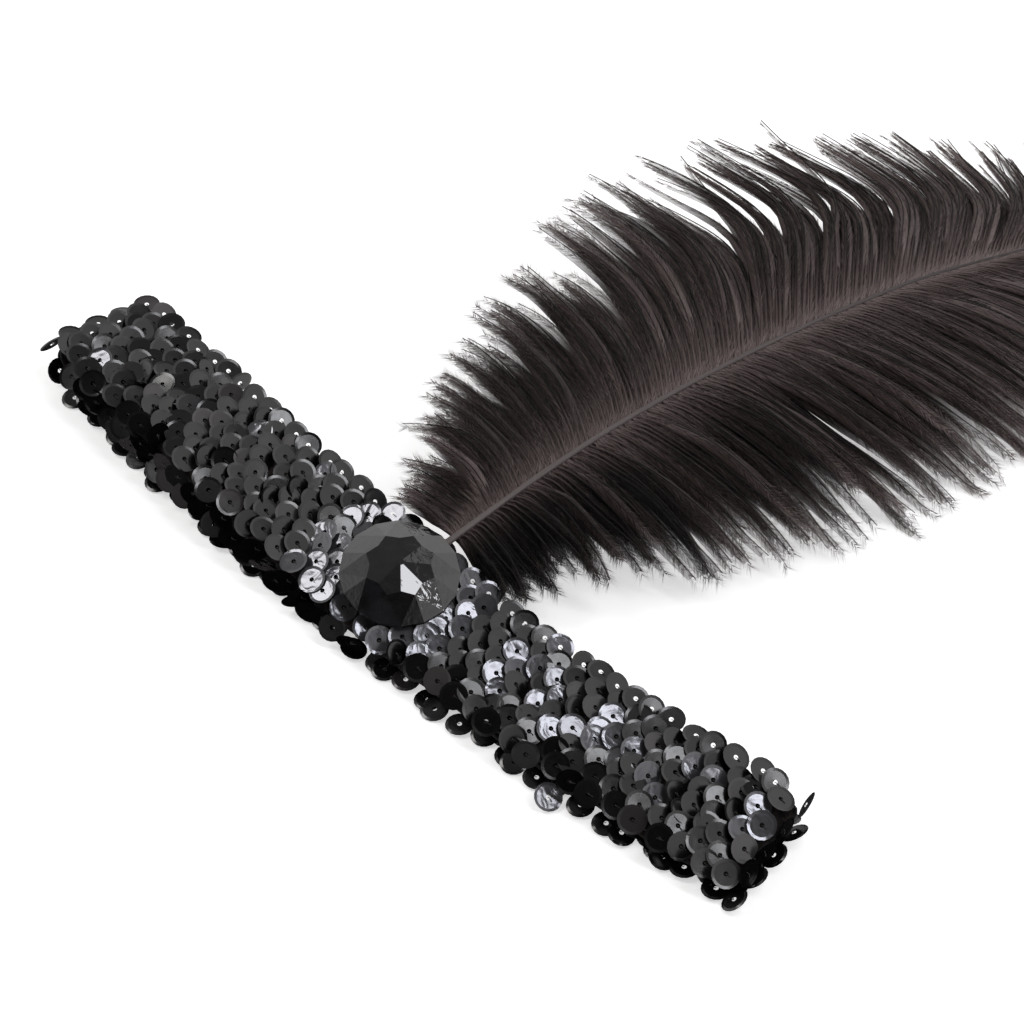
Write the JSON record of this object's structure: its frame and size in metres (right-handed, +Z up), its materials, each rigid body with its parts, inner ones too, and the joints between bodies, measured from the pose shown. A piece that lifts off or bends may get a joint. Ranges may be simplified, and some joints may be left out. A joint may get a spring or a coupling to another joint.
{
  "type": "flapper feather headband",
  "caption": "Stretch sequin headband loop lying pressed flat, with a round cut stone on its front and one curved ostrich-style plume standing off its far edge.",
  "frame": {"origin": "middle of the flat underside of the band, on the surface it lies on", "axes": "+X along the pressed-flat band, +Y across the band towards the plume's tip, +Z up"},
  "size_m": [0.2149, 0.2468, 0.0291],
  "materials": {
    "net_band": "matt stretch net",
    "sequin_cover": "glossy black cup sequins",
    "stone": "polished faceted jet acrylic",
    "stone_pad": "set hot glue",
    "plume": "soft black-brown feather"
  },
  "bodies": {
    "root": {"net_band": "net_band", "sequin_cover": "sequin_cover", "stone": "stone", "stone_pad": "stone_pad", "plume": "plume"}
  },
  "joints": []
}
